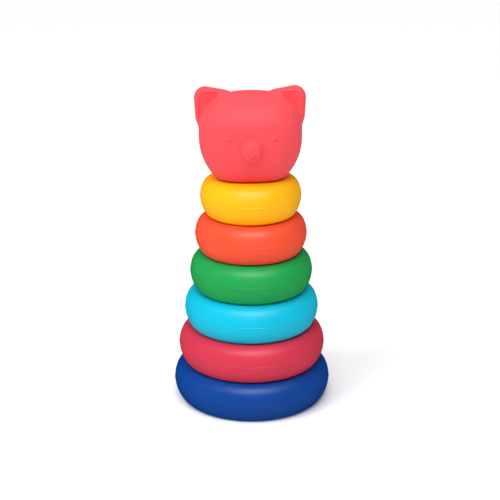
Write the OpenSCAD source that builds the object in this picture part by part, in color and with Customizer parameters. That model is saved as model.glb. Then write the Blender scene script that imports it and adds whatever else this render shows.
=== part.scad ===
// Ring stacker: a round base with a post, five hollow rings that slide
// over the post, and a cat's head that caps it.
// Units are millimetres. The underside of the base is at z = 0,
// the post stands on the z axis and the face looks along -y.

/* [Rings] */
// Outer radius of the base ring at its seam
base_r = 60; // [59:0.5:61]
// Outer radius of the raspberry ring at its seam
raspberry_r = 55.8; // [54:0.1:57]
// Outer radius of the cyan ring at its seam
cyan_r = 50.9; // [49:0.1:52]
// Outer radius of the green ring at its seam
green_r = 46.3; // [45:0.1:48]
// Outer radius of the orange ring at its seam
orange_r = 42; // [41:0.1:43]
// Outer radius of the yellow ring at its seam
yellow_r = 37.75; // [37:0.05:39]
// Height of each ring's upper shell above the seam
upper_h = 14.1; // [13.5:0.1:14.5]
// Height of each ring's lower shell below the seam
lower_h = 15.15; // [14.6:0.05:15.6]
// Radius of the bulge beside the seam on the upper shell
upper_crown_r = 20.8; // [19:0.1:22]
// Radius of the shoulder of the upper shell
upper_shoulder_r = 9.7; // [9:0.1:10.5]
// Radius of the bulge beside the seam on the lower shell
lower_crown_r = 22; // [21:0.5:23]
// Radius of the turned-in foot of the lower shell
lower_shoulder_r = 5.7; // [5:0.1:6.2]
// Thickness of the moulded ring walls
wall = 2.4; // [2:0.1:2.8]
// Radius of the hole through each ring
hole_r = 12.5; // [12.5:0.1:12.8]
// Rounding at the mouth of each ring's hole
hole_edge_r = 1.4; // [1:0.1:1.5]
// How far the parting line stands out at the seam
bead_out = 0.25; // [0.1:0.05:0.3]
// Height of the parting line on each side of the seam
bead_h = 0.3; // [0.3:0.1:0.6]

/* [Post] */
// Outer radius of the post
post_r = 10; // [9.5:0.1:10]
// Thickness of the post's tube wall
post_wall = 2; // [1.6:0.1:2.4]
// How far the post's tip stands above the yellow ring
post_over = 32; // [28:0.5:32]
// Radius of the flange that holds the post inside the base
flange_r = 24; // [20:1:28]
// Thickness of the flange
flange_t = 3; // [2:0.5:4]

/* [Head] */
// Half width of the head at its sides
head_r = 37.9; // [37.5:0.1:38.5]
// Height of the head from its seat to the crown
head_h = 63.9; // [63.5:0.1:64.5]
// Depth of the head over its width
head_depth = 0.82; // [0.78:0.01:0.9]
// Squareness of the head's plan, 2 for an ellipse
head_square = 2.7; // [2:0.1:3]
// Radius of the curve from the cheeks to the jaw
cheek_r = 43; // [41:0.5:44]
// Radius of the curve from the sides to the crown
temple_r = 22; // [21:0.5:23]
// Radius of the nearly flat crown
crown_r = 70; // [65:1:75]
// Radius where the jaw turns under
jaw_r = 5.8; // [5.6:0.1:6.5]
// Height at which the head is widest
widest_h = 31; // [30:0.5:31.5]
// Slope of the underside in degrees
under_slope = 6; // [5:0.5:8]
// Thickness of the soft wall
head_wall = 3; // [2.6:0.1:3.4]
// Radius of the plug under the head
plug_r = 15.5; // [15.2:0.1:16]
// Radius of the socket that drops over the post
socket_r = 12; // [11.8:0.1:12.2]

/* [Face and ears] */
// Radius of the rounded ear edge
ear_r = 8; // [7.5:0.1:8.5]
// Distance of the ear tip's centre from the middle
ear_tip_x = 32.9; // [32:0.1:33.5]
// Height of the ear tip's centre above the seat
ear_tip_z = 59.1; // [58:0.1:60]
// Depth of the hollow in the front of each ear
ear_dish = 2.2; // [1:0.1:2.6]
// Radius of the snout
snout_r = 8.4; // [8:0.1:9]
// Height of the snout's centre above the seat
snout_z = 27.3; // [27:0.1:28]
// How far the snout stands out in front of the face
snout_out = 4; // [3:0.1:4.5]
// Distance of each eye from the middle
eye_x = 16.3; // [15:0.1:17]
// Height of the eyes above the seat
eye_z = 35.8; // [35:0.1:37]
// Radius of the small round eyes
eye_r = 2.3; // [2:0.1:2.6]

/* [Hidden] */
$fn = 96;
pitch = upper_h + lower_h;
seat_z = 6 * pitch;
post_top = seat_z + post_over;
// Tongue of each lower shell: thickness, height, gap, root depth, grip
lap_t = 1.3;
lap_h = 2.5;
lap_gap = 0.35;
lap_root = 3;
lap_grip = 0.6;
// Play round the post in the base, and the wall of the tube round it
post_play = 0.2;
base_tube_t = 3.2;
// Wall of the socket, room over the post's tip, the plug's snap flange
socket_wall = 1.8;
tip_room = 1.6;
snap_play = 0.1;
snap_t = 2;
snap_out = 3.5;
// Ears: middle of their depth, inner and lower corners, rim, hollow's radius
ear_y = 2;
ear_in = [20, 56.7];
ear_low = [32.2, 46];
ear_rim = 3;
// Snout: radius of its domed front, drop and size of the stitched cross
snout_ball_r = 24;
cross_drop = 2.7;
cross_len = 6.4;
cross_w = 0.9;
cross_out = 0.2;
eye_sunk = 1.4;
// Longer than any section
far = 300;
// Head's section: radius of the opening for the plug, then the centres of its
// arcs, each tangent to the next, and the angles where one hands over
open_r = plug_r + 0.1;
cheek_x = head_r - cheek_r;
under_reach = cos(under_slope) * widest_h - sin(under_slope) * (cheek_x - open_r);
jaw_turn = asin((under_reach - jaw_r) / (cheek_r - jaw_r)) - under_slope;
jaw_x = cheek_x + (cheek_r - jaw_r) * cos(jaw_turn);
jaw_z = widest_h - (cheek_r - jaw_r) * sin(jaw_turn);
temple_x = head_r - temple_r;
crown_z = head_h - crown_r;
temple_z = crown_z + sqrt(pow(crown_r - temple_r, 2) - temple_x * temple_x);
crown_turn = atan2(temple_z - crown_z, temple_x);
// Face: how far it stands forward in the middle, and at the eyes
face_y = head_r * head_depth;
eye_y = head_depth * pow(pow(head_r, head_square) - pow(eye_x, head_square), 1 / head_square);
// Steps along each arc and round the head, and the flat left at the crown
arc_steps = 5;
plan_steps = 48;
crown_end = 88;
same_point = 0.001;
// Top of the floor round the plug's opening, and the snap flange above it
shell_floor = jaw_z - (jaw_r - head_wall) * cos(under_slope);
snap_z = shell_floor + snap_play;

// Which piece to show

// Colours of the mouldings
navy = [0.0, 0.23, 0.58];
raspberry = [0.84, 0.16, 0.28];
cyan = [0.0, 0.76, 0.88];
green = [0.09, 0.60, 0.28];
orange = [0.97, 0.36, 0.20];
yellow = [1.0, 0.77, 0.08];
coral = [0.97, 0.33, 0.36];
bone = [0.93, 0.92, 0.89];

// One half of a ring's section, from the seam at zero up to h.
// A bulge arc leaves the seam upright and runs into a shoulder arc,
// which ends level at the top.
module half_section(r, crown, shoulder, h, inner) {
    cx = r - crown;
    rise = h - shoulder;
    sx = cx + sqrt(pow(crown - shoulder, 2) - rise * rise);
    turn = atan2(rise, sx - cx);
    translate([sx, rise])
        circle(shoulder);
    intersection() {
        translate([cx, 0])
            circle(crown);
        polygon([[cx, 0], [cx + far, 0], [cx + far * cos(turn), far * sin(turn)]]);
    }
    polygon([[inner, 0], [sx, 0], [sx, h], [inner, h]]);
}

// Solid half ring with its rounded hole mouth and half the parting line
module half_solid(r, crown, shoulder, h) {
    difference() {
        union() {
            intersection() {
                half_section(r, crown, shoulder, h, hole_r);
                square([far, h + 1]);
            }
            translate([r - lap_grip, 0])
                square([lap_grip + bead_out, bead_h]);
        }
        difference() {
            translate([hole_r - 1, h - hole_edge_r])
                square([1 + hole_edge_r, hole_edge_r + 1]);
            translate([hole_r + hole_edge_r, h - hole_edge_r])
                circle(hole_edge_r);
        }
    }
}

// Section of an open half ring: outer skin, top and the tube round the hole
module half_skin(r, crown, shoulder, h) {
    difference() {
        half_solid(r, crown, shoulder, h);
        intersection() {
            half_section(r - wall, crown - wall, shoulder - wall, h - wall, hole_r + wall);
            square([far, h]);
        }
    }
}

// The thin tongue on a lower shell that centres the upper shell
module tongue(r) {
    outer = r - wall - lap_gap;
    polygon([
        [outer - lap_t, -lap_root], [r - wall + lap_grip, -lap_root],
        [r - wall + lap_grip, 0], [outer, 0], [outer, lap_h], [outer - lap_t, lap_h]
    ]);
}

module ring_upper(r, level, tint) {
    color(tint)
        translate([0, 0, level * pitch + lower_h])
            rotate_extrude()
                half_skin(r, upper_crown_r, upper_shoulder_r, upper_h);
}

module ring_lower(r, level, tint) {
    color(tint)
        translate([0, 0, level * pitch + lower_h])
            rotate_extrude()
                union() {
                    mirror([0, 1])
                        half_skin(r, lower_crown_r, lower_shoulder_r, lower_h);
                    tongue(r);
                }
}

// Base, upper shell: closes round the post, its tube presses the flange down
module base_upper_shell() {
    color(navy)
        rotate_extrude()
            difference() {
                union() {
                    translate([0, lower_h])
                        difference() {
                            half_solid(base_r, upper_crown_r, upper_shoulder_r, upper_h);
                            intersection() {
                                half_section(base_r - wall, upper_crown_r - wall,
                                    upper_shoulder_r - wall, upper_h - wall, post_r);
                                square([far, upper_h]);
                            }
                        }
                    translate([post_r + post_play, wall + flange_t])
                        square([base_tube_t, pitch - 2 * wall - flange_t]);
                    translate([post_r + post_play, pitch - wall])
                        square([hole_r + hole_edge_r - post_r, wall]);
                }
                square([post_r + post_play, pitch + 1]);
            }
}

// Base, lower shell: flat closed underside with the register tongue
module base_lower_shell() {
    color(navy)
        translate([0, 0, lower_h])
            rotate_extrude()
                union() {
                    mirror([0, 1])
                        difference() {
                            union() {
                                intersection() {
                                    half_section(base_r, lower_crown_r, lower_shoulder_r,
                                        lower_h, 0);
                                    square([far, lower_h + 1]);
                                }
                                translate([base_r - lap_grip, 0])
                                    square([lap_grip + bead_out, bead_h]);
                            }
                            intersection() {
                                half_section(base_r - wall, lower_crown_r - wall,
                                    lower_shoulder_r - wall, lower_h - wall, 0);
                                square([far, lower_h]);
                            }
                        }
                    tongue(base_r);
                }
}

// Post: a tube with a domed tip and a flange at its foot
module post() {
    color(bone)
        rotate_extrude()
            difference() {
                union() {
                    translate([0, wall])
                        square([post_r, post_top - post_r - wall]);
                    translate([0, wall])
                        square([flange_r, flange_t]);
                    intersection() {
                        translate([0, post_top - post_r])
                            circle(post_r);
                        translate([0, post_top - post_r])
                            square([post_r, post_r + 1]);
                    }
                }
                translate([-1, 0])
                    square([post_r - post_wall + 1, post_top - post_r]);
                translate([0, post_top - post_r])
                    circle(post_r - post_wall);
            }
}

module raspberry_ring_upper_shell() {
    ring_upper(raspberry_r, 1, raspberry);
}

module raspberry_ring_lower_shell() {
    ring_lower(raspberry_r, 1, raspberry);
}

module cyan_ring_upper_shell() {
    ring_upper(cyan_r, 2, cyan);
}

module cyan_ring_lower_shell() {
    ring_lower(cyan_r, 2, cyan);
}

module green_ring_upper_shell() {
    ring_upper(green_r, 3, green);
}

module green_ring_lower_shell() {
    ring_lower(green_r, 3, green);
}

module orange_ring_upper_shell() {
    ring_upper(orange_r, 4, orange);
}

module orange_ring_lower_shell() {
    ring_lower(orange_r, 4, orange);
}

module yellow_ring_upper_shell() {
    ring_upper(yellow_r, 5, yellow);
}

module yellow_ring_lower_shell() {
    ring_lower(yellow_r, 5, yellow);
}

// Points along an arc about a centre, from one angle to another
function arc_points(at, r, from, to) = [
    for (i = [0:arc_steps])
        let (a = from + (to - from) * i / arc_steps)
            [at[0] + r * cos(a), at[1] + r * sin(a)]
];

// Half width and height up the head's side, drawn in by the inset, above the
// underside: jaw arc, cheek arc, upright side, temple arc and crown arc
function side_levels(inset) = concat(
    arc_points([jaw_x, jaw_z], jaw_r - inset, under_slope - 90, -jaw_turn),
    arc_points([cheek_x, widest_h], cheek_r - inset, -jaw_turn, 0),
    arc_points([temple_x, temple_z], temple_r - inset, 0, crown_turn),
    arc_points([0, crown_z], crown_r - inset, crown_turn, crown_end)
);

// Half width of a level at an angle round the head: a rounded square
function plan_scale(a) =
    pow(pow(abs(cos(a)), head_square) + pow(abs(sin(a)), head_square), -1 / head_square);

// Closed solid through a stack of levels, each a rounded square of its half
// width, narrower from front to back
module stack(levels) {
    n = plan_steps;
    last = len(levels) - 1;
    points = [
        for (q = levels) for (i = [0:n - 1])
            let (a = i * 360 / n, r = q[0] * plan_scale(a))
                [r * cos(a), head_depth * r * sin(a), q[1]]
    ];
    faces = concat(
        [[for (i = [0:n - 1]) i]],
        [for (k = [0:last - 1]) for (i = [0:n - 1])
            [k * n + i, (k + 1) * n + i, (k + 1) * n + (i + 1) % n, k * n + (i + 1) % n]],
        [[for (i = [n - 1:-1:0]) last * n + i]]
    );
    polyhedron(points, faces);
}

// Drops points that repeat the one before
function distinct(list) = [
    for (i = [0:len(list) - 1])
        if (i == 0 || norm(list[i] - list[i - 1]) > same_point)
            list[i]
];

// One ear: a thick rounded triangle with a shallow dish in its front
module ear() {
    difference() {
        hull() {
            translate([ear_tip_x, ear_y, ear_tip_z])
                sphere(ear_r, $fn = 40);
            translate([ear_in[0], ear_y, ear_in[1]])
                sphere(ear_r, $fn = 40);
            translate([ear_low[0], ear_y, ear_low[1]])
                sphere(ear_r, $fn = 40);
        }
        translate([0, ear_y - ear_r + ear_dish, 0])
            rotate([90, 0, 0])
                linear_extrude(ear_r)
                    hull() {
                        translate([ear_tip_x, ear_tip_z])
                            circle(ear_r - ear_rim, $fn = 32);
                        translate(ear_in)
                            circle(ear_r - ear_rim, $fn = 32);
                        translate(ear_low)
                            circle(ear_r - ear_rim, $fn = 32);
                    }
    }
}

// Head: one soft hollow moulding with ears, snout, stitched nose and eyes
module head_shell() {
    color(coral)
        translate([0, 0, seat_z])
            difference() {
                union() {
                    stack(distinct(concat([[open_r, 0]], side_levels(0))));
                    ear();
                    mirror([1, 0, 0])
                        ear();
                    intersection() {
                        translate([0, -face_y / 2, snout_z])
                            rotate([90, 0, 0])
                                cylinder(h = face_y, r = snout_r);
                        translate([0, snout_ball_r - face_y - snout_out, snout_z])
                            sphere(snout_ball_r);
                    }
                    for (side = [-1, 1])
                        translate([0, 0, snout_z - cross_drop])
                            rotate([0, side * 45, 0])
                                translate([
                                    -cross_len / 2, -face_y - snout_out - cross_out, -cross_w / 2
                                ])
                                    cube([cross_len, snout_out, cross_w]);
                    for (side = [-1, 1])
                        translate([side * eye_x, eye_sunk - eye_y, eye_z])
                            sphere(eye_r);
                }
                stack(distinct(side_levels(head_wall)));
                translate([0, 0, -1])
                    cylinder(h = shell_floor + 2, r = open_r);
            }
}

// Plug: firm insert under the head; its seat rests on the yellow ring
// and its socket drops over the post
module head_plug() {
    color(bone)
        translate([0, 0, seat_z])
            rotate_extrude()
                difference() {
                    union() {
                        square([plug_r, snap_z + 1]);
                        translate([0, snap_z])
                            square([plug_r + snap_out, snap_t]);
                        square([socket_r + socket_wall, post_over + tip_room + socket_wall]);
                    }
                    translate([-1, -1])
                        square([socket_r + 1, post_over + tip_room + 1]);
                }
}

base_lower_shell();
base_upper_shell();
post();
raspberry_ring_lower_shell();
raspberry_ring_upper_shell();
cyan_ring_lower_shell();
cyan_ring_upper_shell();
green_ring_lower_shell();
green_ring_upper_shell();
orange_ring_lower_shell();
orange_ring_upper_shell();
yellow_ring_lower_shell();
yellow_ring_upper_shell();
head_plug();
head_shell();
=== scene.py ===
"""Finished surfaces, materials and stage for a ring stacker with a cat's head."""

import math

import bmesh
import bpy
import numpy as np
from bpy.props import FloatProperty, FloatVectorProperty, IntProperty, PointerProperty

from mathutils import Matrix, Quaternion, Vector


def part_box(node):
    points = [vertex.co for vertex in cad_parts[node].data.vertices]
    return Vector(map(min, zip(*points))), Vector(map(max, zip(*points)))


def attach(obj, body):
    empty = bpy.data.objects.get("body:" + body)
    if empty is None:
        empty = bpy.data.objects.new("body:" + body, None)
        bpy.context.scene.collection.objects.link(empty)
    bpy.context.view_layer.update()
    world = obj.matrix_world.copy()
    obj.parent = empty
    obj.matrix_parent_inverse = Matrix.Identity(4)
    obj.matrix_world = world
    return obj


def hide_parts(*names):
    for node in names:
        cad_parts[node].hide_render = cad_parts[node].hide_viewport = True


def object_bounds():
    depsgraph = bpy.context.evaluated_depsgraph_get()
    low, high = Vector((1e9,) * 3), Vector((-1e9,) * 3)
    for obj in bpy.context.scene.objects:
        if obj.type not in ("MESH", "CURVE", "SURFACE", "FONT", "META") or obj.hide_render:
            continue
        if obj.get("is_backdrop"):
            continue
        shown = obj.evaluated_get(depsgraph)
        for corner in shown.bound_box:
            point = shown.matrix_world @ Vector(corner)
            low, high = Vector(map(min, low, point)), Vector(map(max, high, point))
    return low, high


bl_info = {
    "name": "Ring Stacker",
    "version": (1, 0, 0),
    "blender": (4, 5, 0),
    "location": "View3D > Sidebar > Ring Stacker",
    "description": "Builds a toddler's ring stacker: base, post, hollow rings and a cat's head",
    "category": "Object",
}

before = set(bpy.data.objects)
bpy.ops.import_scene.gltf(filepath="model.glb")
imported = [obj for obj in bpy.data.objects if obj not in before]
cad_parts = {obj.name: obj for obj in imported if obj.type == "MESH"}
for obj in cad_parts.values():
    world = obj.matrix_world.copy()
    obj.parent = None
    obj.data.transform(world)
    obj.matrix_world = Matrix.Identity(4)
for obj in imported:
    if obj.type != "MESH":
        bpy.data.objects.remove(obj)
CAD_BOX = [list(corner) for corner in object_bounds()]

MM = 0.001
RINGS = ("raspberry", "cyan", "green", "orange", "yellow")

# Millimetres. Seam of a ring above its foot, then the tongue that centres its shells there.
SEAM_HEIGHT = 15.15
LAP_GAP, LAP_WIDTH, LAP_HEIGHT, LAP_ROOT, LAP_CHAMFER = 0.35, 1.3, 2.5, 3.0, 0.3

# Post and the flange at its foot, the tube round it in the base, the recess under the base.
POST_RADIUS, POST_WALL, POST_PLAY = 10.0, 2.0, 0.2
FLANGE, FLANGE_RADIUS = 3.0, 24.0
BASE_TUBE, BASE_EDGE = 3.2, 0.8
RECESS_RADIUS, RECESS_DEPTH = 44.0, 0.4

# Steps round the post, the plug, the floor and the backdrop.
ROUND_STEPS = 96

# Edges: chamfers under and over the flange, the fillet from it to the post, the width of the
# recess's sloping edge. Gate mark in the recess: its rim, its floor and its depth.
FLANGE_FOOT_EDGE, FLANGE_TOP_EDGE, POST_FILLET, RECESS_EDGE = 0.4, 0.6, 1.0, 1.2
GATE_RIM, GATE_FLOOR, GATE_DEPTH = 2.2, 1.9, 0.3

# Parting line: how near the outer radius it lies, then the mean of its height, the share that
# a slow and a quick wave add, and how often each wave goes round.
BEAD_BAND = 1.0
FLASH_MEAN, FLASH_SLOW, FLASH_QUICK = 0.8, 0.14, 0.06
SLOW_WAVES, QUICK_WAVES = 3, 11

# Plug under the head: its snap flange, its socket and their edges.
SNAP_LOW, SNAP_HIGH, SNAP_OUT, SNAP_EDGE = 6.1, 8.1, 3.5, 0.5
SOCKET_RADIUS, SOCKET_WALL, SOCKET_TOP, SOCKET_EDGE = 12.0, 1.8, 35.4, 1.0
PLUG_PLAY, PLUG_EDGE = 0.1, 0.6

# Ears, from the middle and the seat: corners across and up, middle and half of their depth,
# the power that rounds their edges, and the fillet to the skull.
EAR_CORNERS = [(32.9, 59.1), (20.0, 56.7), (32.2, 46.0)]
EAR_BACK, EAR_HALF_DEPTH, EAR_POWER, EAR_FILLET = 2.0, 8.0, 3.2, 2.6

# Hollow in an ear's front: its corners, the slope by which it gets shallower outwards, the
# distance from the middle at which it has its set depth, and the rounding of its floor, of
# its edge along the skull and of its rim.
DISH_CORNERS = [(37.3, 64.0), (23.4, 63.7), (36.8, 42.0)]
DISH_TILT, DISH_MIDDLE = 0.12, 30.0
DISH_FLOOR_EDGE, DISH_SKULL_EDGE, DISH_RIM = 0.7, 0.3, 0.6

# Snout: the ball of its front, its rounded rim, its fillet to the face, its root behind the
# face. Cross: how far below the snout's middle, half a stroke, its thickness and fillet.
SNOUT_DOME, SNOUT_RIM, SNOUT_FILLET, SNOUT_ROOT = 16.0, 3.6, 0.7, 8.0
CROSS_BELOW, CROSS_HALF, CROSS_RIDGE, CROSS_FILLET = 2.0, 2.3, 0.65, 0.35

# Eyes: how deep their middles lie under the face, and their fillet. Roof of the plug's opening
# over the floor of the hollow head.
EYE_SUNK, EYE_FILLET = 0.7, 0.5
OPENING_ROOF = 1.0

# A distance that stands for nowhere near, in a field.
FAR = 1e3

# Grid of the head's skin: its step, its box, then width and gain of the closer lines round the
# cross, the eyes, the snout and the hollows in the ears, and where those hollows and the face lie.
GRID_STEP = 0.85
GRID_ACROSS, GRID_DEEP, GRID_UP = (-43, 43), (-39, 35), (-1.5, 70)
CROSS_BELL, EYE_BELL, SNOUT_BELL, DISH_BELL = (4, 2.2), (3, 1.0), (10, 0.6), (9, 0.5)
DISH_ACROSS, DISH_UP = 31, 57
FACE_BELL, DISH_FLOOR_BELL = (-35, 4, 1.6), (-5, 3, 0.9)

# Settling the skin: step for the field's slope, least squared slope, longest move at once.
SLOPE_STEP, LEAST_SLOPE, LONGEST_MOVE = 0.02, 0.2, 0.4
SETTLE_ROUNDS = 5

# Patches in a moulding's skin: size in millimetres, the range of noise they use, and what they
# do to the shade and the roughness.
PATCH_SIZE, PATCH_LOW, PATCH_HIGH = 38, 0.3, 0.7
PATCH_SHADE, PATCH_GLOSS = (0.975, 1.02), 0.03

# In metres: points this near are one, edges this short go. In degrees: steeper edges stay crisp.
SAME_POINT, SLIVER = 1e-7, 1e-8
CRISP_RIGID, CRISP_SOFT = 40, 50

# Stage: a circle in the floor, its edge, the bend where the wall rises, top of the wall. Then,
# in metres, the point that all lamps face.
FLOOR_MIDDLE, FLOOR_RADIUS, FLOOR_BEND, WALL_TOP = 1000.0, 9000.0, 2000.0, 7000.0
LAMP_AIM = (0, 0, 0.12)


# ---------------------------------------------------------------- colours and nodes


def linear(code):
    """Turns an sRGB hex code such as "#FFC81A" into linear red, green, blue and alpha."""
    shares = [int(code[i:i + 2], 16) / 255 for i in (1, 3, 5)]
    return [c / 12.92 if c <= 0.04045 else ((c + 0.055) / 1.055) ** 2.4 for c in shares] + [1.0]


def add_node(tree, kind, settings=None, inputs=None):
    """Adds one shader node, sets its properties, then fills or links its inputs."""
    node = tree.nodes.new(kind)
    for key, value in (settings or {}).items():
        setattr(node, key, value)
    for key, value in (inputs or {}).items():
        if isinstance(value, bpy.types.NodeSocket):
            tree.links.new(value, node.inputs[key])
        else:
            node.inputs[key].default_value = value
    return node


# ---------------------------------------------------------------- meshes


def make_piece(name, points, faces):
    """Puts arrays of points in millimetres and faces into a smooth mesh object."""
    mesh = bpy.data.meshes.new(name)
    mesh.from_pydata((points * MM).tolist(), [], faces.tolist())
    shape = bmesh.new()
    shape.from_mesh(mesh)
    bmesh.ops.remove_doubles(shape, verts=shape.verts, dist=SAME_POINT)
    bmesh.ops.dissolve_degenerate(shape, edges=shape.edges, dist=SLIVER)
    shape.to_mesh(mesh)
    shape.free()
    mesh.shade_smooth()
    piece = bpy.data.objects.new(name, mesh)
    bpy.context.scene.collection.objects.link(piece)
    return piece


def sharpen(piece, degrees):
    """Keeps edges steeper than the angle crisp and the rest smooth."""
    piece.data.set_sharp_from_angle(angle=math.radians(degrees))


def arc(centre, radius, start, end, steps):
    """Points on a circle: centre plus radius times cosine and sine, start to end in degrees."""
    angle = np.radians(np.linspace(start, end, steps + 1))
    return np.stack([
        centre[0] + radius * np.cos(angle),
        centre[1] + radius * np.sin(angle),
    ], axis=1)


def revolve(profile, steps, swell=None):
    """Carries a closed profile of radius and height once round the z axis.

    A point is radius times cosine and sine of the turn, at the profile's height. Where swell
    is given, it adds to the radius as an array over turns and profile points.
    """
    turn = np.linspace(0, 2 * np.pi, steps, endpoint=False)[:, None]
    radius = np.repeat(profile[None, :, 0], steps, axis=0)
    if swell is not None:
        radius = radius + swell(turn, profile)
    height = np.repeat(profile[None, :, 1], steps, axis=0)
    points = np.stack([radius * np.cos(turn), radius * np.sin(turn), height], axis=2)
    count = len(profile)
    row, column = np.meshgrid(np.arange(steps), np.arange(count), indexing="ij")
    next_row, next_column = (row + 1) % steps, (column + 1) % count
    faces = np.stack([
        row * count + column,
        next_row * count + column,
        next_row * count + next_column,
        row * count + next_column,
    ], axis=2)
    return points.reshape(-1, 3), faces.reshape(-1, 4)


# ---------------------------------------------------------------- sizes and colours


class RingSizes(bpy.types.PropertyGroup):
    """Section of the hollow ring mouldings."""
    upper_crown: FloatProperty(name="Upper bulge", default=20.8 * MM, unit="LENGTH",
                               description="Radius beside the seam, upper shell")
    upper_shoulder: FloatProperty(name="Upper shoulder", description="Radius of the upper shoulder",
                                  default=9.7 * MM, unit="LENGTH")
    lower_crown: FloatProperty(name="Lower bulge", default=22 * MM, unit="LENGTH",
                               description="Radius beside the seam, lower shell")
    lower_shoulder: FloatProperty(name="Lower shoulder", description="Radius of the turned-in foot",
                                  default=5.7 * MM, unit="LENGTH")
    wall: FloatProperty(name="Wall", description="Thickness of the moulded walls",
                        default=2.4 * MM, unit="LENGTH")
    hole: FloatProperty(name="Hole", description="Radius of the hole through each ring",
                        default=12.5 * MM, unit="LENGTH")
    hole_edge: FloatProperty(name="Hole edge", description="Rounding at the mouth of the hole",
                             default=1.4 * MM, unit="LENGTH")
    bead_out: FloatProperty(name="Parting line", description="How far the parting line stands out",
                            default=0.25 * MM, unit="LENGTH")
    bead_half: FloatProperty(name="Parting line half width", default=0.42 * MM, unit="LENGTH",
                             description="Half the parting line's width")
    turns: IntProperty(name="Steps round", description="Faces round each ring", default=208)


class HeadSizes(bpy.types.PropertyGroup):
    """Shape of the head's moulding, heights measured from its seat."""
    half_width: FloatProperty(name="Half width", description="Half the head's width at its sides",
                              default=37.9 * MM, unit="LENGTH")
    height: FloatProperty(name="Height", description="From the seat to the crown",
                          default=63.9 * MM, unit="LENGTH")
    depth_share: FloatProperty(name="Depth share", description="Depth of the head over its width",
                               default=0.82, subtype="FACTOR")
    squareness: FloatProperty(name="Squareness", description="Power of the plan's rounded square",
                              default=2.7)
    cheek: FloatProperty(name="Cheek", description="Radius from the sides to the jaw",
                         default=43 * MM, unit="LENGTH")
    temple: FloatProperty(name="Temple", description="Radius from the sides to the crown",
                          default=22 * MM, unit="LENGTH")
    crown: FloatProperty(name="Crown", description="Radius of the nearly flat crown",
                         default=70 * MM, unit="LENGTH")
    jaw: FloatProperty(name="Jaw", description="Radius where the jaw turns under",
                       default=5.8 * MM, unit="LENGTH")
    widest: FloatProperty(name="Widest", description="Height at which the head is widest",
                          default=31 * MM, unit="LENGTH")
    under_slope: FloatProperty(name="Underside", description="Slope of the underside",
                               default=math.radians(4.5), subtype="ANGLE")
    wall: FloatProperty(name="Wall", description="Thickness of the soft wall",
                        default=3 * MM, unit="LENGTH")
    plug: FloatProperty(name="Plug", description="Radius of the plug under the head",
                        default=15.5 * MM, unit="LENGTH")
    ear_round: FloatProperty(name="Ear edge", description="Radius of the rounded ear edge",
                             default=8 * MM, unit="LENGTH")
    ear_dish: FloatProperty(name="Ear hollow", description="Depth of the hollow in each ear",
                            default=1.9 * MM, unit="LENGTH")
    dish_round: FloatProperty(name="Hollow's corners", description="Radius of the hollow's corners",
                              default=0.6 * MM, unit="LENGTH")
    snout: FloatProperty(name="Snout", description="Radius of the snout",
                         default=8.2 * MM, unit="LENGTH")
    snout_height: FloatProperty(name="Snout height", description="Height of the snout's centre",
                                default=26.6 * MM, unit="LENGTH")
    snout_out: FloatProperty(name="Snout depth", description="How far the snout stands out",
                             default=5.2 * MM, unit="LENGTH")
    eye: FloatProperty(name="Eye", description="Radius of the small round eyes",
                       default=1.75 * MM, unit="LENGTH")
    eye_apart: FloatProperty(name="Eye from middle", default=16.3 * MM, unit="LENGTH",
                             description="Distance of each eye from the middle")
    eye_height: FloatProperty(name="Eye height", description="Height of the eyes",
                              default=35.0 * MM, unit="LENGTH")


def colour_property(name, code):
    """One colour setting, shown in the panel as a swatch."""
    return FloatVectorProperty(name=name, description=name + " moulding colour", subtype="COLOR",
                               size=4, min=0, max=1, default=linear(code))


class Colours(bpy.types.PropertyGroup):
    """Colours of the mouldings."""
    navy: colour_property("Navy", "#003E8E")
    raspberry: colour_property("Raspberry", "#CA3349")
    cyan: colour_property("Cyan", "#00B4D3")
    green: colour_property("Green", "#1D9A4B")
    orange: colour_property("Orange", "#EC4E30")
    yellow: colour_property("Yellow", "#F5B107")
    coral: colour_property("Coral", "#EA4A52")
    bone: colour_property("Bone", "#ECE9DF")


class StageSettings(bpy.types.PropertyGroup):
    """Where the camera stands and how it looks."""
    camera_distance: FloatProperty(name="Camera distance", default=0.963, unit="LENGTH",
                                   description="From the camera to its target")
    camera_pitch: FloatProperty(name="Camera pitch", description="How far the camera looks down",
                                default=math.radians(18.97), subtype="ANGLE")
    camera_turn: FloatProperty(name="Camera turn", description="Angle round from the face",
                               default=math.radians(-2.2), subtype="ANGLE")
    target_height: FloatProperty(name="Target height", description="Height the camera looks at",
                                 default=0.1173, unit="LENGTH")
    lens: FloatProperty(name="Lens", description="Focal length in millimetres on a 36 mm sensor",
                        default=91.4)
    camera_roll: FloatProperty(name="Camera roll", default=math.radians(-0.38), subtype="ANGLE",
                               description="How far the camera leans to its right")
    shift: FloatProperty(name="Shift", description="Sideways shift of the lens", default=-0.0021)


# ---------------------------------------------------------------- materials


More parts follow.
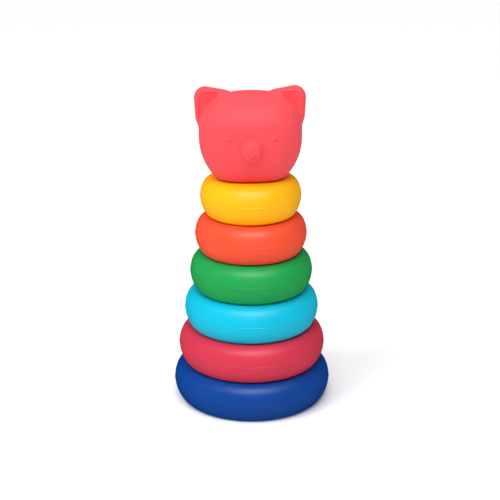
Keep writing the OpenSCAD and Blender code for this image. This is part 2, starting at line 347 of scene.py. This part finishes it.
def moulded_plastic(name, colour, roughness, specular, grain_mm, grain_depth, sheen):
    """Solid coloured polymer from a textured steel mould.

    Large soft patches of slightly different gloss are the cooling of the wall; the fine
    grain is the mould's own texture, drawn as coarse as it needs to show.
    """
    material = bpy.data.materials.new(name)
    material.use_nodes = True
    tree = material.node_tree
    tree.nodes.clear()
    place = add_node(tree, "ShaderNodeTexCoord").outputs["Object"]
    patches = add_node(tree, "ShaderNodeTexNoise", {"noise_dimensions": "3D"},
                       {"Vector": place, "Scale": 1 / (PATCH_SIZE * MM), "Detail": 2.0,
                        "Roughness": 0.5})
    grain = add_node(tree, "ShaderNodeTexNoise", {"noise_dimensions": "3D"},
                     {"Vector": place, "Scale": 1 / (grain_mm * MM), "Detail": 3.0,
                      "Roughness": 0.55})
    shade = add_node(tree, "ShaderNodeMapRange", {"clamp": True},
                     {"Value": patches.outputs["Fac"], "From Min": PATCH_LOW,
                      "From Max": PATCH_HIGH, "To Min": PATCH_SHADE[0], "To Max": PATCH_SHADE[1]})
    tint = add_node(tree, "ShaderNodeHueSaturation", {},
                    {"Color": colour, "Value": shade.outputs["Result"]})
    gloss = add_node(tree, "ShaderNodeMapRange", {"clamp": True},
                     {"Value": patches.outputs["Fac"], "From Min": PATCH_LOW,
                      "From Max": PATCH_HIGH, "To Min": roughness - PATCH_GLOSS,
                      "To Max": roughness + PATCH_GLOSS})
    bump = add_node(tree, "ShaderNodeBump", {},
                    {"Height": grain.outputs["Fac"], "Strength": 1.0, "Distance": grain_depth * MM})
    skin = add_node(tree, "ShaderNodeBsdfPrincipled", {},
                    {"Base Color": tint.outputs["Color"], "Roughness": gloss.outputs["Result"],
                     "Normal": bump.outputs["Normal"], "IOR": 1.49, "Specular IOR Level": specular,
                     "Sheen Weight": sheen, "Sheen Roughness": 0.45})
    add_node(tree, "ShaderNodeOutputMaterial", {}, {"Surface": skin.outputs["BSDF"]})
    return material


def ring_plastic(name, colour):
    """Injection-moulded polypropylene: a satin skin that spreads a lamp into a soft patch."""
    return moulded_plastic(name + "_polypropylene", colour, roughness=0.41, specular=0.17,
                           grain_mm=0.9, grain_depth=0.008, sheen=0.0)


def head_vinyl(colour):
    """Rotation-moulded soft vinyl with a matte touch: no clear highlight, pale at its edges."""
    return moulded_plastic("coral_soft_vinyl", colour, roughness=0.6, specular=0.12,
                           grain_mm=0.7, grain_depth=0.012, sheen=0.04)


def dress(piece, material, body, slot, *nodes):
    """Gives a finished piece its material and its body, and hides the solids it stands for; the
    slot is not used.
    """
    piece.data.materials.clear()
    piece.data.materials.append(material)
    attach(piece, body)
    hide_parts(*nodes)
    return piece


# ---------------------------------------------------------------- ring mouldings


def half_outline(radius, crown, shoulder, height):
    """Where the bulge arc of a half section turns into its shoulder arc.

    The bulge's centre is its radius in from the seam. The shoulder's centre lies the difference
    of both radii from it, at the height that makes the shoulder end level at the top.
    """
    bulge_x = radius - crown
    rise = height - shoulder
    shoulder_x = bulge_x + math.sqrt((crown - shoulder) ** 2 - rise ** 2)
    turn = math.degrees(math.atan2(rise, shoulder_x - bulge_x))
    return bulge_x, shoulder_x, rise, turn


def outer_skin(radius, crown, shoulder, height, bead_half):
    """Outer skin from the seam up: close steps at the parting line, then the two arcs."""
    bulge_x, shoulder_x, rise, turn = half_outline(radius, crown, shoulder, height)
    near = math.degrees(2 * bead_half / crown)
    return np.concatenate([
        arc((bulge_x, 0), crown, 0, near, 10)[:-1],
        arc((bulge_x, 0), crown, near, turn, 12)[:-1],
        arc((shoulder_x, rise), shoulder, turn, 90, 26),
    ])


def inner_skin(radius, crown, shoulder, height, wall, stop):
    """Inner skin from the top down to a stop height, one wall inside the outer skin."""
    bulge_x, shoulder_x, rise, turn = half_outline(radius, crown, shoulder, height)
    last = math.degrees(math.asin(stop / (crown - wall)))
    return np.concatenate([
        arc((shoulder_x, rise), shoulder - wall, 90, turn, 12)[:-1],
        arc((bulge_x, 0), crown - wall, turn, last, 8),
    ])


def register_lip(radius, wall):
    """Tongue of a lower shell, reaching past the seam inside the upper shell, tip chamfered."""
    lip = radius - wall - LAP_GAP
    inside = lip - LAP_WIDTH
    return np.array([
        [inside, LAP_ROOT], [inside, LAP_CHAMFER - LAP_HEIGHT], [inside + LAP_CHAMFER, -LAP_HEIGHT],
        [lip - LAP_CHAMFER, -LAP_HEIGHT], [lip, LAP_CHAMFER - LAP_HEIGHT], [lip, 0],
    ])


def parting_swell(bead_out, bead_half, seam, radius):
    """Round swelling of the parting line: a cosine across the seam.

    Its height drifts a little round the ring, as flash does where a mould's halves close.
    """
    def swell(turn, profile):
        offset = np.abs(profile[None, :, 1] - seam) / bead_half
        ridge = np.where(offset < 1, 0.5 + 0.5 * np.cos(np.pi * np.minimum(offset, 1)), 0)
        ridge = ridge * (profile[None, :, 0] > radius - BEAD_BAND)
        slow = FLASH_SLOW * np.sin(SLOW_WAVES * turn + radius)
        quick = FLASH_QUICK * np.sin(QUICK_WAVES * turn + 2 * radius)
        return bead_out * (FLASH_MEAN + slow + quick) * ridge
    return swell


def ring_half(name, node, upper, middle):
    """A hollow half ring; middle(height, wall) gives the section's points round the hole."""
    s = bpy.context.scene.stacker_rings
    low, high = (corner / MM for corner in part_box(node))
    wall, bead_out, bead_half = s.wall / MM, s.bead_out / MM, s.bead_half / MM
    radius = high.x - bead_out
    if upper:
        crown, shoulder, seam = s.upper_crown / MM, s.upper_shoulder / MM, low.z
        if node == "base_upper_shell":
            seam = SEAM_HEIGHT
        height, end = high.z - seam, np.empty((0, 2))
    else:
        crown, shoulder, seam = s.lower_crown / MM, s.lower_shoulder / MM, low.z + SEAM_HEIGHT
        height, end = SEAM_HEIGHT, register_lip(radius, wall)
    profile = np.concatenate([
        outer_skin(radius, crown, shoulder, height, bead_half),
        middle(height, wall),
        inner_skin(radius, crown, shoulder, height, wall, 0 if upper else LAP_ROOT),
        end,
    ])
    if not upper:
        profile = profile[::-1] * [1, -1]
    profile = profile + [0, seam]
    points, faces = revolve(profile, s.turns, parting_swell(bead_out, bead_half, seam, radius))
    piece = make_piece(name, points, faces)
    sharpen(piece, CRISP_RIGID)
    return piece


def ring_middle(height, wall):
    """Rounded mouth of the hole, and the tube round the hole down to the seam."""
    s = bpy.context.scene.stacker_rings
    hole, edge = s.hole / MM, s.hole_edge / MM
    return np.concatenate([
        arc((hole + edge, height - edge), edge, 90, 180, 8),
        [[hole, height * 0.5], [hole, 0], [hole + wall, 0], [hole + wall, height - wall]],
    ])


def base_top_middle(height, wall):
    """Small round edge beside the post, and the tube that presses the post's flange down."""
    bore, foot = POST_RADIUS + POST_PLAY, wall + FLANGE - SEAM_HEIGHT
    return np.concatenate([
        arc((bore + BASE_EDGE, height - BASE_EDGE), BASE_EDGE, 90, 180, 6),
        [[bore, foot], [bore + BASE_TUBE, foot], [bore + BASE_TUBE, height - wall]],
    ])


def base_floor_middle(height, wall):
    """Closed underside: a shallow round recess inside the foot, and a small gate mark."""
    return np.array([
        [RECESS_RADIUS + RECESS_EDGE, height], [RECESS_RADIUS, height - RECESS_DEPTH],
        [GATE_RIM, height - RECESS_DEPTH], [GATE_FLOOR, height - RECESS_DEPTH - GATE_DEPTH],
        [0, height - RECESS_DEPTH - GATE_DEPTH], [0, height - wall],
    ])


# ---------------------------------------------------------------- post and plug


def post_section(foot, tip):
    """Closed section of the post: flange, tube and domed tip, outside then inside."""
    dome = tip - POST_RADIUS
    bore = POST_RADIUS - POST_WALL
    return np.concatenate([
        [[bore, foot], [FLANGE_RADIUS - FLANGE_FOOT_EDGE, foot],
         [FLANGE_RADIUS, foot + FLANGE_FOOT_EDGE], [FLANGE_RADIUS, foot + FLANGE - FLANGE_TOP_EDGE],
         [FLANGE_RADIUS - FLANGE_TOP_EDGE, foot + FLANGE]],
        arc((POST_RADIUS + POST_FILLET, foot + FLANGE + POST_FILLET), POST_FILLET, 270, 180, 6),
        [[POST_RADIUS, foot + (dome - foot) * share] for share in (0.25, 0.5, 0.75)],
        arc((0, dome), POST_RADIUS, 0, 90, 24),
        arc((0, dome), bore, 90, 0, 12),
    ])


def plug_section(seat, s):
    """Closed section of the plug: seat, snap flange, socket tube and its closed end."""
    plug, bore, tube = s.plug / MM, SOCKET_RADIUS, SOCKET_RADIUS + SOCKET_WALL
    end = seat + SOCKET_TOP
    return np.concatenate([
        arc((bore + PLUG_EDGE, seat + PLUG_EDGE), PLUG_EDGE, 180, 270, 5),
        arc((plug - PLUG_EDGE, seat + PLUG_EDGE), PLUG_EDGE, 270, 360, 5),
        [[plug, seat + SNAP_LOW], [plug + SNAP_OUT, seat + SNAP_LOW],
         [plug + SNAP_OUT, seat + SNAP_HIGH - SNAP_EDGE],
         [plug + SNAP_OUT - SNAP_EDGE, seat + SNAP_HIGH], [tube, seat + SNAP_HIGH]],
        arc((tube - SOCKET_EDGE, end - SOCKET_EDGE), SOCKET_EDGE, 0, 90, 5),
        [[0, end], [0, end - SOCKET_WALL], [bore, end - SOCKET_WALL]],
    ])


# ---------------------------------------------------------------- head


def smooth_join(a, b, reach):
    """Union of two distance fields with a fillet about as wide as the reach."""
    share = np.clip(0.5 + 0.5 * (b - a) / reach, 0, 1)
    return b + (a - b) * share - reach * share * (1 - share)


def smooth_meet(a, b, reach):
    """Overlap of two distance fields with a rounded edge."""
    return -smooth_join(-a, -b, reach)


def smooth_cut(a, b, reach):
    """The first field less the second, with a rounded edge."""
    return smooth_meet(a, -b, reach)


def head_arcs(s):
    """Centres of the arcs of the head's section, each tangent to the next."""
    half, cheek, jaw = s.half_width / MM, s.cheek / MM, s.jaw / MM
    temple, crown = s.temple / MM, s.crown / MM
    widest, top, slope = s.widest / MM, s.height / MM, s.under_slope
    edge = s.plug / MM + PLUG_PLAY
    bulge_x = half - cheek
    reach = -math.sin(slope) * (bulge_x - edge) + math.cos(slope) * widest
    down = math.asin((reach - jaw) / (cheek - jaw)) - slope
    jaw_at = (bulge_x + (cheek - jaw) * math.cos(down), widest - (cheek - jaw) * math.sin(down))
    temple_x = half - temple
    crown_z = top - crown
    temple_z = crown_z + math.sqrt((crown - temple) ** 2 - temple_x ** 2)
    return {
        "half": half, "cheek": cheek, "jaw": jaw, "temple": temple, "crown": crown,
        "widest": widest, "slope": slope, "edge": edge, "bulge_x": bulge_x, "down": down,
        "jaw_at": jaw_at, "temple_at": (temple_x, temple_z), "crown_z": crown_z,
    }


def section_distance(r, z, g):
    """Signed distance from the head's section: the arc whose sector holds the point decides."""
    crown = np.hypot(r, z - g["crown_z"]) - g["crown"]
    temple = np.hypot(r - g["temple_at"][0], z - g["temple_at"][1]) - g["temple"]
    side = r - g["half"]
    cheek = np.hypot(r - g["bulge_x"], z - g["widest"]) - g["cheek"]
    jaw = np.hypot(r - g["jaw_at"][0], z - g["jaw_at"][1]) - g["jaw"]
    sine, cosine = math.sin(g["slope"]), math.cos(g["slope"])
    under = np.maximum((r - g["edge"]) * sine - z * cosine, -z)
    in_crown = g["temple_at"][0] * (z - g["crown_z"]) > (g["temple_at"][1] - g["crown_z"]) * r
    in_cheek = (math.cos(g["down"]) * (z - g["widest"])
                + math.sin(g["down"]) * (r - g["bulge_x"])) > 0
    in_jaw = sine * (z - g["jaw_at"][1]) + cosine * (r - g["jaw_at"][0]) > 0
    upper = np.where(in_crown, crown, temple)
    lower = np.where(in_cheek, cheek, np.where(in_jaw, jaw, under))
    return np.where(z >= g["temple_at"][1], upper, np.where(z >= g["widest"], side, lower))


def triangle_distance(x, z, corners):
    """Signed distance from a triangle in the x z plane, negative inside."""
    nearest = np.full(np.shape(x), np.inf)
    inside = np.ones(np.shape(x), bool)
    for (ax, az), (bx, bz) in zip(corners, corners[1:] + corners[:1]):
        ex, ez = bx - ax, bz - az
        share = np.clip(((x - ax) * ex + (z - az) * ez) / (ex * ex + ez * ez), 0, 1)
        nearest = np.minimum(nearest, np.hypot(x - ax - share * ex, z - az - share * ez))
        inside &= ex * (z - az) - ez * (x - ax) > 0
    return np.where(inside, -nearest, nearest)


def head_field(p, s, g):
    """Distance field of the whole head, in millimetres from the seat, negative in the vinyl.

    Body: the section's distance, with the plan's rounded square in place of the radius.
    Ears: a triangle's distance and the depth, joined as a root of the sum of their powers,
    less the edge radius. Their hollows: a larger triangle met by a floor that tilts, cut out
    of the ears only. Snout: a cylinder met by a large ball. Cross: two strokes that lie on
    that ball. Eyes: small balls sunk in the face. All are joined with fillets, and the hollow
    inside and the plug's opening are cut out at the end.
    """
    x, y, z = p[..., 0], p[..., 1], p[..., 2]
    power, share = s.squareness, s.depth_share
    plan = (np.abs(x) ** power + np.abs(y / share) ** power + 1e-9) ** (1 / power)
    body = section_distance(plan, z, g)

    ear_round = s.ear_round / MM
    around = triangle_distance(np.abs(x), z, EAR_CORNERS)
    across = (y - EAR_BACK) * ear_round / EAR_HALF_DEPTH
    summed = np.maximum(around, 0) ** EAR_POWER + np.abs(across) ** EAR_POWER
    ear = summed ** (1 / EAR_POWER) - ear_round
    head = smooth_join(body, ear, EAR_FILLET)
    tilt = DISH_TILT * (np.abs(x) - DISH_MIDDLE)
    dish_floor = EAR_BACK - EAR_HALF_DEPTH + s.ear_dish / MM - tilt
    dish = triangle_distance(np.abs(x), z, DISH_CORNERS) - s.dish_round / MM
    dish = smooth_meet(dish, y - dish_floor, DISH_FLOOR_EDGE)
    head = smooth_cut(head, smooth_meet(dish, -body, DISH_SKULL_EDGE), DISH_RIM)

    snout, snout_z = s.snout / MM, s.snout_height / MM
    front = -share * (g["bulge_x"] + math.sqrt(g["cheek"] ** 2 - (g["widest"] - snout_z) ** 2))
    ball_y = front - s.snout_out / MM + SNOUT_DOME
    dome = np.sqrt(x * x + (y - ball_y) ** 2 + (z - snout_z) ** 2) - SNOUT_DOME
    button = smooth_meet(np.hypot(x, z - snout_z) - snout, dome, SNOUT_RIM)
    button = np.maximum(button, y - front - SNOUT_ROOT)
    head = smooth_join(head, button, SNOUT_FILLET)

    low = z - snout_z + CROSS_BELOW
    for sign in (-1, 1):
        along, beside = (x + sign * low) / math.sqrt(2), (x - sign * low) / math.sqrt(2)
        stroke = np.hypot(np.maximum(np.abs(along) - CROSS_HALF, 0), beside)
        ridge = np.where(y < 0, np.hypot(stroke, dome) - CROSS_RIDGE, FAR)
        head = smooth_join(head, ridge, CROSS_FILLET)

    eye, eye_x, eye_z = s.eye / MM, s.eye_apart / MM, s.eye_height / MM
    aside = np.hypot(np.abs(x) - eye_x, z - eye_z)
    ball = np.where(y < 0, np.hypot(aside, body + EYE_SUNK) - eye, FAR)
    head = smooth_join(head, ball, EYE_FILLET)

    wall = s.wall / MM
    floor = g["jaw_at"][1] - (g["jaw"] - wall) * math.cos(g["slope"])
    hollow = np.maximum(body + wall, floor - z)
    opening = np.maximum(np.hypot(x, y) - g["edge"], z - floor - OPENING_ROOF)
    return np.maximum(np.maximum(head, -hollow), -opening)


def graded(low, high, step, finer):
    """Grid lines from low to high, closer where finer asks: the inverse of a summed density.

    The density is one over the step, times one plus a bell of the given gain and width for
    each centre.
    """
    line = np.linspace(low, high, 4000)
    density = np.ones_like(line)
    for centre, width, gain in finer:
        density += gain * np.exp(-((line - centre) / width) ** 2)
    parts = (density[1:] + density[:-1]) / 2 * np.diff(line)
    total = np.concatenate([[0], np.cumsum(parts)]) / step
    return np.interp(np.linspace(0, total[-1], int(round(total[-1])) + 1), total, line)


def level_surface(field, lines):
    """Closed mesh of the field's zero level on a grid of three sets of lines.

    Each cell that the surface crosses gets one point, the mean of where it crosses the cell's
    edges, and each grid edge that it crosses gets one face between the four cells round it.
    """
    grid = np.stack(np.meshgrid(*lines, indexing="ij"), axis=-1)
    value = field(grid)
    inside = value < 0
    cells = tuple(n - 1 for n in inside.shape)
    corner = {(i, j, k): (slice(i, i + cells[0]), slice(j, j + cells[1]), slice(k, k + cells[2]))
              for i in (0, 1) for j in (0, 1) for k in (0, 1)}
    total = sum(inside[at].astype(np.int8) for at in corner.values())
    mixed = (total > 0) & (total < 8)
    number = np.full(cells, -1)
    number[mixed] = np.arange(mixed.sum())
    summed, crossings = np.zeros((mixed.sum(), 3)), np.zeros(mixed.sum())
    for a in corner:
        for axis in range(3):
            if a[axis]:
                continue
            b = tuple(v + (n == axis) for n, v in enumerate(a))
            va, vb = value[corner[a]][mixed], value[corner[b]][mixed]
            pa, pb = grid[corner[a]][mixed], grid[corner[b]][mixed]
            hit = (va < 0) != (vb < 0)
            share = np.where(hit, va / np.where(hit, va - vb, 1), 0)[:, None]
            summed += np.where(hit[:, None], pa + (pb - pa) * share, 0)
            crossings += hit
    points = summed / crossings[:, None]
    faces = []
    for axis in range(3):
        one, two = (axis + 1) % 3, (axis + 2) % 3
        first = [slice(1, -1)] * 3
        first[axis] = slice(0, -1)
        second = list(first)
        second[axis] = slice(1, None)
        starts, ends = inside[tuple(first)], inside[tuple(second)]
        for rising in (True, False):
            at = np.argwhere((starts & ~ends) if rising else (~starts & ends))
            at = at + np.array([0 if n == axis else 1 for n in range(3)])
            around = []
            for d_one, d_two in ((-1, -1), (0, -1), (0, 0), (-1, 0)):
                cell = at.copy()
                cell[:, one] += d_one
                cell[:, two] += d_two
                around.append(number[cell[:, 0], cell[:, 1], cell[:, 2]])
            quads = np.stack(around, axis=1)
            faces.append(quads if rising else quads[:, ::-1])
    return points, np.concatenate(faces)


def settle(points, faces, field, rounds):
    """Evens the mesh and puts it exactly on the surface.

    Each round moves points half way to the mean of their neighbours, then along the field's
    slope by the field's value over the slope squared.
    """
    ends = np.concatenate([faces[:, [0, 1]], faces[:, [1, 2]], faces[:, [2, 3]], faces[:, [3, 0]]])
    ends = np.concatenate([ends, ends[:, ::-1]])
    weight = np.bincount(ends[:, 0], minlength=len(points))[:, None]
    step = SLOPE_STEP
    for turn in range(rounds):
        if turn < rounds - 1:
            mean = np.stack([np.bincount(ends[:, 0], points[ends[:, 1], n], len(points))
                             for n in range(3)], axis=1) / weight
            points = points + 0.5 * (mean - points)
        for _ in range(2):
            slope = np.stack([
                (field(points + step * axis) - field(points - step * axis)) / (2 * step)
                for axis in np.eye(3)
            ], axis=1)
            size = np.maximum((slope ** 2).sum(1, keepdims=True), LEAST_SLOPE)
            move = field(points)[:, None] * slope / size
            length = np.linalg.norm(move, axis=1, keepdims=True)
            points = points - move * np.minimum(1, LONGEST_MOVE / np.maximum(length, 1e-9))
    return points


# ---------------------------------------------------------------- operators


class STACKER_OT_rings(bpy.types.Operator):
    """Makes the two half shells of each loose ring."""
    bl_idname = "stacker.rings"
    bl_label = "Loose rings"

    def execute(self, context):
        colours = context.scene.stacker_colours
        for ring in RINGS:
            material = ring_plastic(ring, getattr(colours, ring))
            for side in ("lower", "upper"):
                node = ring + "_ring_" + side + "_shell"
                name = ring + "_ring_" + side + "_moulding"
                piece = ring_half(name, node, side == "upper", ring_middle)
                dress(piece, material, ring + "_ring", ring + "_plastic", node)
        return {"FINISHED"}


class STACKER_OT_base(bpy.types.Operator):
    """Makes the base's two shells, closed below and open round the post."""
    bl_idname = "stacker.base"
    bl_label = "Base"

    def execute(self, context):
        material = ring_plastic("navy", context.scene.stacker_colours.navy)
        top = ring_half("base_upper_moulding", "base_upper_shell", True, base_top_middle)
        dress(top, material, "base", "navy_plastic", "base_upper_shell")
        floor = ring_half("base_lower_moulding", "base_lower_shell", False, base_floor_middle)
        dress(floor, material, "base", "navy_plastic", "base_lower_shell")
        return {"FINISHED"}


class STACKER_OT_post(bpy.types.Operator):
    """Makes the post with its flange and domed tip."""
    bl_idname = "stacker.post"
    bl_label = "Post"

    def execute(self, context):
        low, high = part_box("post")
        points, faces = revolve(post_section(low.z / MM, high.z / MM), ROUND_STEPS)
        piece = make_piece("post_tube", points, faces)
        sharpen(piece, CRISP_RIGID)
        material = ring_plastic("bone", context.scene.stacker_colours.bone)
        dress(piece, material, "base", "bone_plastic", "post")
        return {"FINISHED"}


class STACKER_OT_head(bpy.types.Operator):
    """Makes the head's one soft moulding: skull, ears, eyes, snout and the cross raised on it."""
    bl_idname = "stacker.head"
    bl_label = "Head"

    def execute(self, context):
        s = context.scene.stacker_head
        g = head_arcs(s)
        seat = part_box("head_shell")[0].z / MM
        step = GRID_STEP * 1.0
        snout_z, eye_z, eye_x = s.snout_height / MM, s.eye_height / MM, s.eye_apart / MM
        lines = (
            graded(*GRID_ACROSS, step, [
                (0, *CROSS_BELL), (-eye_x, *EYE_BELL), (eye_x, *EYE_BELL), (0, *SNOUT_BELL),
                (-DISH_ACROSS, *DISH_BELL), (DISH_ACROSS, *DISH_BELL)]),
            graded(*GRID_DEEP, step, [FACE_BELL, DISH_FLOOR_BELL]),
            graded(*GRID_UP, step, [
                (snout_z - CROSS_BELOW, *CROSS_BELL), (eye_z, *EYE_BELL), (snout_z, *SNOUT_BELL),
                (DISH_UP, *DISH_BELL)]),
        )

        def field(p):
            return head_field(p, s, g)

        points, faces = level_surface(field, lines)
        points = settle(points, faces, field, SETTLE_ROUNDS)
        piece = make_piece("head_moulding", points + [0, 0, seat], faces)
        sharpen(piece, CRISP_SOFT)
        material = head_vinyl(context.scene.stacker_colours.coral)
        dress(piece, material, "head", "coral_soft_plastic", "head_shell")
        return {"FINISHED"}


class STACKER_OT_plug(bpy.types.Operator):
    """Makes the plug that closes the head from below and drops over the post."""
    bl_idname = "stacker.plug"
    bl_label = "Plug"

    def execute(self, context):
        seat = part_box("head_plug")[0].z / MM
        points, faces = revolve(plug_section(seat, context.scene.stacker_head), ROUND_STEPS)
        piece = make_piece("plug_moulding", points, faces)
        sharpen(piece, CRISP_RIGID)
        material = bpy.data.materials["bone_polypropylene"]
        dress(piece, material, "head", "bone_plastic", "head_plug")
        return {"FINISHED"}


def area_light(name, place, width, depth, power):
    """A soft white rectangular lamp at a place in metres that faces the toy's middle."""
    data = bpy.data.lights.new(name, "AREA")
    data.shape = "RECTANGLE"
    data.size, data.size_y = width, depth
    data.energy = power
    lamp = bpy.data.objects.new(name, data)
    bpy.context.scene.collection.objects.link(lamp)
    lamp.location = place
    direction = Vector(LAMP_AIM) - Vector(place)
    lamp.rotation_euler = direction.to_track_quat("-Z", "Y").to_euler()
    return lamp


class STACKER_OT_stage(bpy.types.Operator):
    """Makes the pale floor and backdrop, the studio lamps and the camera."""
    bl_idname = "stacker.stage"
    bl_label = "Stage"

    def execute(self, context):
        self.sweep()
        self.lamps(context.scene)
        self.camera(context.scene)
        return {"FINISHED"}

    def sweep(self):
        """Round floor, and a wall far round it that only the camera sees.

        Both are matt white paper, which looks even and shows no highlight.
        """
        material = bpy.data.materials.new("white_paper_sweep")
        material.use_nodes = True
        tree = material.node_tree
        tree.nodes.clear()
        paper = add_node(tree, "ShaderNodeBsdfPrincipled", {},
                         {"Base Color": linear("#FCFCFC"), "Roughness": 0.7,
                          "Specular IOR Level": 0.2})
        add_node(tree, "ShaderNodeOutputMaterial", {}, {"Surface": paper.outputs["BSDF"]})
        floor = self.round_sheet("floor", np.array([[0, 0], [FLOOR_MIDDLE, 0], [FLOOR_RADIUS, 0]]))
        wall = self.round_sheet("backdrop", np.concatenate([
            arc((FLOOR_RADIUS, FLOOR_BEND), FLOOR_BEND, 270, 360, 24),
            [[FLOOR_RADIUS + FLOOR_BEND, WALL_TOP]],
        ]))
        wall.visible_diffuse = wall.visible_shadow = False
        for sheet in (floor, wall):
            sheet.visible_glossy = False
            sheet.data.materials.append(material)
            sheet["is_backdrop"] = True

    def round_sheet(self, name, line):
        """Carries an open line of radius and height once round the z axis, facing in and up."""
        steps, count = ROUND_STEPS, len(line)
        turn = np.linspace(0, 2 * np.pi, steps, endpoint=False)[:, None]
        points = np.stack([line[:, 0] * np.cos(turn), line[:, 0] * np.sin(turn),
                           np.repeat(line[None, :, 1], steps, axis=0)], axis=2)
        row, column = np.meshgrid(np.arange(steps), np.arange(count - 1), indexing="ij")
        start, beside = row * count + column, (row + 1) % steps * count + column
        faces = np.stack([start, start + 1, beside + 1, beside], axis=2)
        return make_piece(name, points.reshape(-1, 3), faces.reshape(-1, 4))

    def lamps(self, scene):
        """Soft boxes, a sun and a pale ceiling.

        A box overhead, a panel at the left and a fill in front; a box that is seen in gloss
        alone, so that the highlights can be set apart from the light; a wide sun from the upper
        left; and a world that is bright above and dark at the horizon.
        """
        area_light("top_box", (0.0, -0.6, 1.02), width=0.56, depth=0.36, power=4.3)
        area_light("left_panel", (-1.3, -0.5, 0.75), width=0.9, depth=0.9, power=2.3)
        fill = area_light("front_fill", (-0.3, -1.6, 0.42), width=0.8, depth=0.5, power=0.8)
        fill.visible_glossy = False
        gloss = area_light("gloss_box", (0.0, -0.7, 1.0), width=1.1, depth=0.9, power=27.0)
        gloss.visible_diffuse = False
        key = bpy.data.lights.new("key", "SUN")
        key.energy, key.angle = 1.1, math.radians(26)
        lamp = bpy.data.objects.new("key", key)
        scene.collection.objects.link(lamp)
        lamp.rotation_euler = Vector((0.7, 0.42, -1.0)).to_track_quat("-Z", "Y").to_euler()
        lamp.visible_glossy = False
        world = bpy.data.worlds.new("studio")
        scene.world = world
        world.use_nodes = True
        tree = world.node_tree
        tree.nodes.clear()
        way = add_node(tree, "ShaderNodeTexCoord").outputs["Generated"]
        height = add_node(tree, "ShaderNodeSeparateXYZ", {}, {"Vector": way}).outputs["Z"]
        strength = add_node(tree, "ShaderNodeMapRange", {"clamp": True},
                            {"Value": height, "From Min": 0.0, "From Max": 1.0,
                             "To Min": 0.02, "To Max": 1.2})
        glow = add_node(tree, "ShaderNodeBackground", {},
                        {"Color": linear("#FFFFFF"), "Strength": strength.outputs["Result"]})
        add_node(tree, "ShaderNodeOutputWorld", {}, {"Surface": glow.outputs["Background"]})
        world.cycles_visibility.glossy = False
        scene.view_settings.view_transform = "Standard"

    def camera(self, scene):
        """Camera at its distance from the target, turned and pitched round it."""
        s = scene.stacker_stage
        target = Vector((0, 0, s.target_height))
        flat = s.camera_distance * math.cos(s.camera_pitch)
        place = target + Vector((
            flat * math.sin(s.camera_turn),
            -flat * math.cos(s.camera_turn),
            s.camera_distance * math.sin(s.camera_pitch),
        ))
        data = bpy.data.cameras.new("camera")
        data.lens = s.lens
        data.sensor_width = 36
        data.shift_x = s.shift
        camera = bpy.data.objects.new("camera", data)
        scene.collection.objects.link(camera)
        camera.location = place
        aim = (target - place).to_track_quat("-Z", "Y")
        camera.rotation_euler = (aim @ Quaternion((0, 0, 1), s.camera_roll)).to_euler()
        scene.camera = camera


class STACKER_PT_panel(bpy.types.Panel):
    """Lists the pieces and their settings."""
    bl_idname = "STACKER_PT_panel"
    bl_label = "Ring Stacker"
    bl_space_type = "VIEW_3D"
    bl_region_type = "UI"
    bl_category = "Ring Stacker"

    def draw(self, context):
        scene = context.scene
        for operator in OPERATORS:
            self.layout.operator(operator.bl_idname)
        for key in GROUPS:
            group = getattr(scene, key)
            box = self.layout.box()
            for name in group.__annotations__:
                box.prop(group, name)


OPERATORS = (STACKER_OT_base, STACKER_OT_post, STACKER_OT_rings, STACKER_OT_head, STACKER_OT_plug,
             STACKER_OT_stage)
GROUPS = {"stacker_rings": RingSizes, "stacker_head": HeadSizes, "stacker_colours": Colours,
          "stacker_stage": StageSettings}


def register():
    """Makes the settings, operators and panel known to Blender."""
    for name, group in GROUPS.items():
        bpy.utils.register_class(group)
        setattr(bpy.types.Scene, name, PointerProperty(type=group))
    for operator in OPERATORS:
        bpy.utils.register_class(operator)
    bpy.utils.register_class(STACKER_PT_panel)


def unregister():
    """Takes them away again."""
    bpy.utils.unregister_class(STACKER_PT_panel)
    for operator in OPERATORS:
        bpy.utils.unregister_class(operator)
    for name, group in GROUPS.items():
        delattr(bpy.types.Scene, name)
        bpy.utils.unregister_class(group)


def main():
    """Builds every piece and the stage."""
    register()
    bpy.ops.stacker.base()
    bpy.ops.stacker.post()
    bpy.ops.stacker.rings()
    bpy.ops.stacker.head()
    bpy.ops.stacker.plug()
    bpy.ops.stacker.stage()
    boxes = {"cad": CAD_BOX, "visual": [list(corner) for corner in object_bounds()]}
    boxes = {key: [[float(v) for v in corner] for corner in box] for key, box in boxes.items()}


if __name__ == "__main__":
    main()
